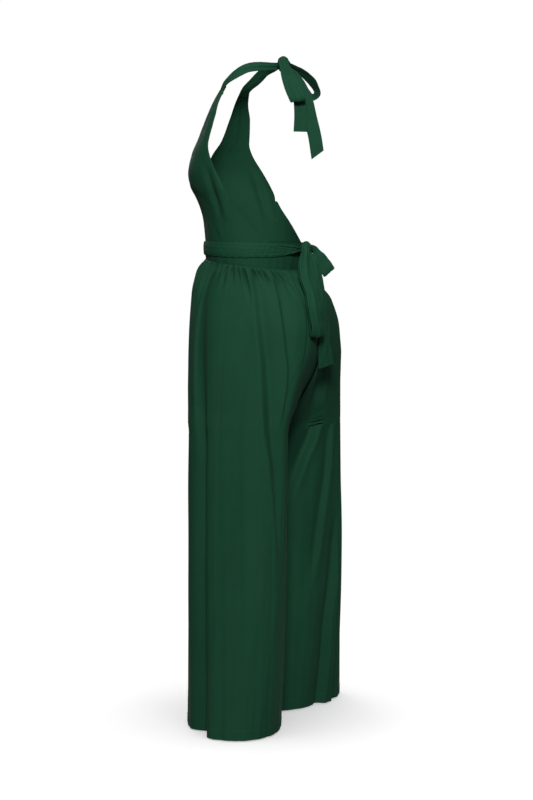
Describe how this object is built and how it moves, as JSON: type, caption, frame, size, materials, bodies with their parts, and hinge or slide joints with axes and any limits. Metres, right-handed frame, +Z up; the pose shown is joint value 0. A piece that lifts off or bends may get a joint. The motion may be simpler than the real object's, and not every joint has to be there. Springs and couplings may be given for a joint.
{
  "type": "halter-neck wide-leg jumpsuit",
  "caption": "Backless halter-neck jumpsuit with gathered wide trouser legs, tied in bows at the nape and at the back of the waist, in its worn shape with no wearer.",
  "frame": {"origin": "inside of the halter tie at the nape, on the centre plane, where the wearer's neck holds it", "axes": "+Z up, front of the garment towards -Y, wearer's left towards +X"},
  "size_m": [0.5072, 0.3206, 1.4641],
  "materials": {
    "jersey": "smooth matte deep green jersey with a faint soft sheen",
    "jersey_tie": "the same jersey, doubled and turned out into ties"
  },
  "bodies": {
    "root": {"bodice_front_left": "jersey", "bodice_front_right": "jersey", "bodice_back_left": "jersey", "bodice_back_right": "jersey", "waistband_front": "jersey", "waistband_back": "jersey", "trouser_left_front": "jersey", "trouser_left_back": "jersey", "trouser_right_front": "jersey", "trouser_right_back": "jersey", "belt": "jersey_tie", "belt_knot": "jersey_tie", "belt_loop_near": "jersey_tie", "belt_loop_far": "jersey_tie", "belt_tail_far": "jersey_tie", "neck_strap_left": "jersey_tie", "neck_strap_right": "jersey_tie", "neck_knot": "jersey_tie", "neck_loop_near": "jersey_tie", "neck_loop_far": "jersey_tie", "neck_tail_near": "jersey_tie", "neck_tail_far": "jersey_tie"}
  },
  "joints": []
}
